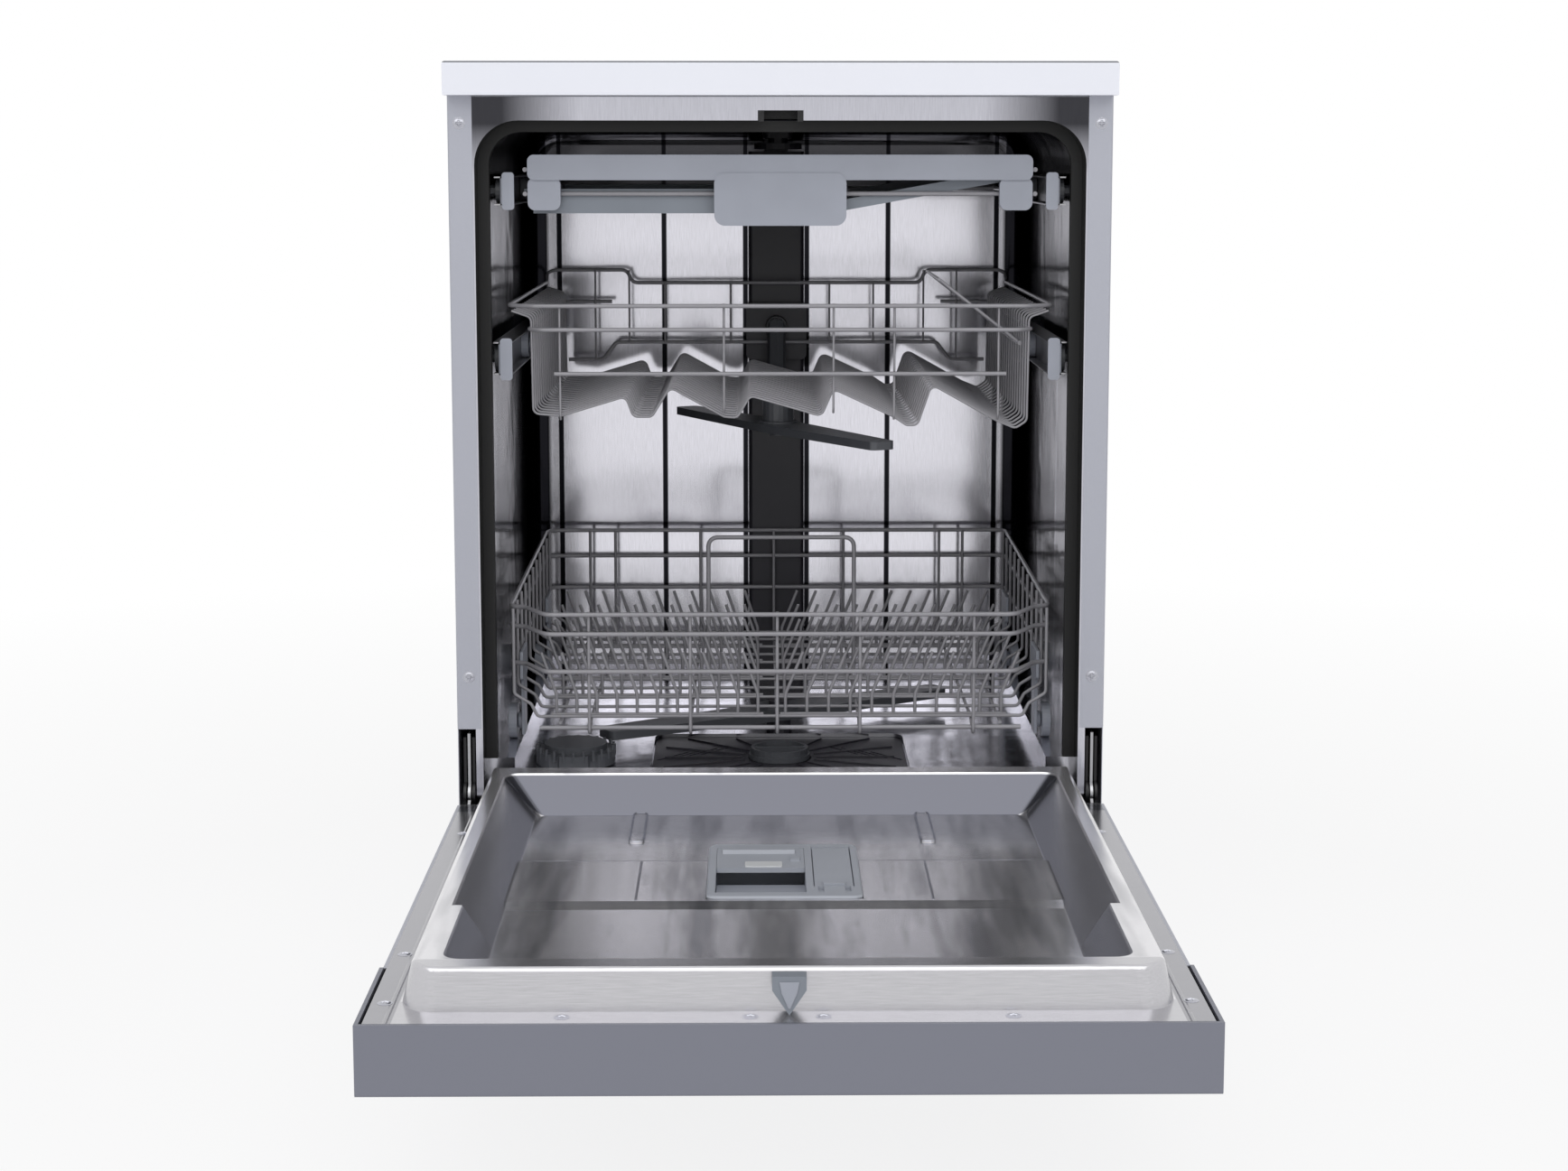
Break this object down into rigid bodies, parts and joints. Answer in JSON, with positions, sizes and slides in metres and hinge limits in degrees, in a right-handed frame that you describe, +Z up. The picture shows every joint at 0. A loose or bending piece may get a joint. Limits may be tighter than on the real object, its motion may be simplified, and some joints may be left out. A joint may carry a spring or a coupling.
{
  "type": "dishwasher",
  "caption": "Free-standing dishwasher with its door folded down, two wire baskets, a cutlery tray on rails, spray arms, filter and dispenser.",
  "frame": {"origin": "on the floor, in the middle of the width and of the whole depth with the door folded down", "axes": "+Z up, -Y to the front where the door folds down, +X to the right of someone facing the front"},
  "size_m": [0.601, 1.19, 0.845],
  "materials": {
    "white_laminate": "smooth laminate",
    "outer_steel": "satin silver paint",
    "galvanised": "zinc coated sheet",
    "base_plastic": "black moulding",
    "tub_steel": "stainless sheet",
    "seal_rubber": "matte",
    "bracket_steel": "black",
    "spring_steel": "bright",
    "dark_plastic": "fine grain",
    "grey_plastic": "fine grain",
    "coated_wire": "satin grey coating",
    "pump_plastic": "smooth"
  },
  "bodies": {
    "cabinet": {"worktop": "white_laminate", "side_panel_left": "outer_steel", "side_panel_right": "outer_steel", "rear_panel": "galvanised", "front_crossbar": "galvanised", "base_tray": "base_plastic", "kick_plate": "outer_steel", "tub_wrap": "tub_steel", "tub_rear_wall": "tub_steel", "tub_floor": "tub_steel", "tub_seals": "seal_rubber", "door_lock": "base_plastic", "hinge_brackets": "bracket_steel", "door_springs": "spring_steel", "spray_duct": "dark_plastic", "ceiling_nozzle": "dark_plastic", "sump": "base_plastic", "filter_plate": "tub_steel", "wash_pump": "pump_plastic", "drain_pump": "pump_plastic", "softener_tank": "pump_plastic", "air_break_tank": "base_plastic", "rear_fittings": "base_plastic", "wall_rollers": "dark_plastic", "rear_feet": "base_plastic"},
    "front_foot_left": {"front_foot_left": "base_plastic"},
    "front_foot_right": {"front_foot_right": "base_plastic"},
    "door": {"door_outer_panel": "outer_steel", "control_fascia": "outer_steel", "door_liner": "tub_steel", "dispenser_housing": "grey_plastic", "latch_hook": "dark_plastic", "hinge_arms": "spring_steel"},
    "dispenser_lid": {"dispenser_lid": "grey_plastic"},
    "rinse_flap": {"rinse_flap": "grey_plastic"},
    "power_button": {"power_button": "dark_plastic"},
    "program_button": {"program_button": "dark_plastic"},
    "start_button": {"start_button": "dark_plastic"},
    "lower_spray_arm": {"lower_spray_arm": "dark_plastic"},
    "filter_cylinder": {"filter_cylinder": "dark_plastic"},
    "salt_cap": {"salt_cap": "base_plastic"},
    "lower_rack": {"lower_basket": "coated_wire", "plate_tines": "coated_wire"},
    "lower_wheels_front": {"lower_wheels_front": "dark_plastic"},
    "lower_wheels_rear": {"lower_wheels_rear": "dark_plastic"},
    "upper_rails": {"upper_rails": "tub_steel"},
    "upper_rail_stop_left": {"upper_rail_stop_left": "dark_plastic"},
    "upper_rail_stop_right": {"upper_rail_stop_right": "dark_plastic"},
    "upper_rack": {"upper_basket": "coated_wire", "feed_pipe": "dark_plastic"},
    "upper_wheels_front": {"upper_wheels_front": "dark_plastic"},
    "upper_wheels_rear": {"upper_wheels_rear": "dark_plastic"},
    "cup_shelf": {"cup_shelf": "coated_wire"},
    "upper_spray_arm": {"upper_spray_arm": "dark_plastic"},
    "tray_rails": {"tray_rails": "tub_steel"},
    "tray_rail_stop_left": {"tray_rail_stop_left": "dark_plastic"},
    "tray_rail_stop_right": {"tray_rail_stop_right": "dark_plastic"},
    "cutlery_tray": {"tray_frame": "coated_wire", "tray_front_bar": "grey_plastic", "cutlery_inserts": "grey_plastic"}
  },
  "joints": [
    {"name": "door_hinge", "type": "hinge", "parent": "cabinet", "child": "door", "pos_m": [0, 0.043, 0.174], "axis": [1, 0, 0], "range_deg": [-90, 0], "deforming": ["door_springs"]},
    {"name": "front_foot_left_screw", "type": "slide", "parent": "cabinet", "child": "front_foot_left", "axis": [0, 0, -1], "range_m": [0, 0.02]},
    {"name": "front_foot_right_screw", "type": "slide", "parent": "cabinet", "child": "front_foot_right", "axis": [0, 0, -1], "range_m": [0, 0.02]},
    {"name": "dispenser_lid_slide", "type": "slide", "parent": "door", "child": "dispenser_lid", "axis": [0, -1, 0], "range_m": [0, 0.06]},
    {"name": "rinse_flap_hinge", "type": "hinge", "parent": "door", "child": "rinse_flap", "pos_m": [0, -0.1366, 0.168], "axis": [-1, 0, 0], "range_deg": [0, 90]},
    {"name": "power_button_press", "type": "slide", "parent": "door", "child": "power_button", "axis": [0, 0, 1], "range_m": [0, 0.0015], "stiffness_N_per_m": 300},
    {"name": "program_button_press", "type": "slide", "parent": "door", "child": "program_button", "axis": [0, 0, 1], "range_m": [0, 0.0015], "stiffness_N_per_m": 300},
    {"name": "start_button_press", "type": "slide", "parent": "door", "child": "start_button", "axis": [0, 0, 1], "range_m": [0, 0.0015], "stiffness_N_per_m": 300},
    {"name": "lower_spray_arm_spin", "type": "hinge", "parent": "cabinet", "child": "lower_spray_arm", "pos_m": [0, 0.28, 0.2], "axis": [0, 0, 1], "continuous": true},
    {"name": "filter_cylinder_turn", "type": "hinge", "parent": "cabinet", "child": "filter_cylinder", "pos_m": [0, 0.165, 0.18], "axis": [0, 0, 1], "range_deg": [0, 60]},
    {"name": "salt_cap_turn", "type": "hinge", "parent": "cabinet", "child": "salt_cap", "pos_m": [-0.196, 0.13, 0.19], "axis": [0, 0, 1], "range_deg": [0, 360]},
    {"name": "lower_rack_slide", "type": "slide", "parent": "cabinet", "child": "lower_rack", "axis": [0, -1, 0], "range_m": [0, 0.48]},
    {"name": "lower_wheels_front_roll", "type": "hinge", "parent": "lower_rack", "child": "lower_wheels_front", "pos_m": [0, 0.16, 0.2183], "axis": [1, 0, 0], "continuous": true},
    {"name": "lower_wheels_rear_roll", "type": "hinge", "parent": "lower_rack", "child": "lower_wheels_rear", "pos_m": [0, 0.468, 0.2183], "axis": [1, 0, 0], "continuous": true},
    {"name": "upper_rails_slide", "type": "slide", "parent": "cabinet", "child": "upper_rails", "axis": [0, -1, 0], "range_m": [0, 0.25]},
    {"name": "upper_rail_stop_left_turn", "type": "hinge", "parent": "upper_rails", "child": "upper_rail_stop_left", "pos_m": [-0.2565, 0.0778, 0.576], "axis": [0, 0, -1], "range_deg": [0, 90]},
    {"name": "upper_rail_stop_right_turn", "type": "hinge", "parent": "upper_rails", "child": "upper_rail_stop_right", "pos_m": [0.2565, 0.0778, 0.576], "axis": [0, 0, 1], "range_deg": [0, 90]},
    {"name": "upper_rack_slide", "type": "slide", "parent": "upper_rails", "child": "upper_rack", "axis": [0, -1, 0], "range_m": [0, 0.17]},
    {"name": "upper_wheels_front_roll", "type": "hinge", "parent": "upper_rack", "child": "upper_wheels_front", "pos_m": [0, 0.27, 0.576], "axis": [1, 0, 0], "continuous": true},
    {"name": "upper_wheels_rear_roll", "type": "hinge", "parent": "upper_rack", "child": "upper_wheels_rear", "pos_m": [0, 0.48, 0.576], "axis": [1, 0, 0], "continuous": true},
    {"name": "cup_shelf_fold", "type": "hinge", "parent": "upper_rack", "child": "cup_shelf", "pos_m": [0.2243, 0.04, 0.588], "axis": [0, 1, 0], "range_deg": [-35, 50]},
    {"name": "upper_spray_arm_spin", "type": "hinge", "parent": "upper_rack", "child": "upper_spray_arm", "pos_m": [0, 0.305, 0.49], "axis": [0, 0, 1], "continuous": true},
    {"name": "tray_rails_slide", "type": "slide", "parent": "cabinet", "child": "tray_rails", "axis": [0, -1, 0], "range_m": [0, 0.2]},
    {"name": "tray_rail_stop_left_turn", "type": "hinge", "parent": "tray_rails", "child": "tray_rail_stop_left", "pos_m": [-0.2529, 0.0778, 0.7296], "axis": [0, 0, -1], "range_deg": [0, 90]},
    {"name": "tray_rail_stop_right_turn", "type": "hinge", "parent": "tray_rails", "child": "tray_rail_stop_right", "pos_m": [0.2529, 0.0778, 0.7296], "axis": [0, 0, 1], "range_deg": [0, 90]},
    {"name": "cutlery_tray_slide", "type": "slide", "parent": "tray_rails", "child": "cutlery_tray", "axis": [0, -1, 0], "range_m": [0, 0.145]}
  ],
  "couplings": [
    {"joint": "lower_wheels_front_roll", "follows": "lower_rack_slide", "rad_per_m": 58.824},
    {"joint": "lower_wheels_rear_roll", "follows": "lower_rack_slide", "rad_per_m": 58.824},
    {"joint": "upper_wheels_front_roll", "follows": "upper_rack_slide", "rad_per_m": 75.188},
    {"joint": "upper_wheels_rear_roll", "follows": "upper_rack_slide", "rad_per_m": 75.188}
  ]
}
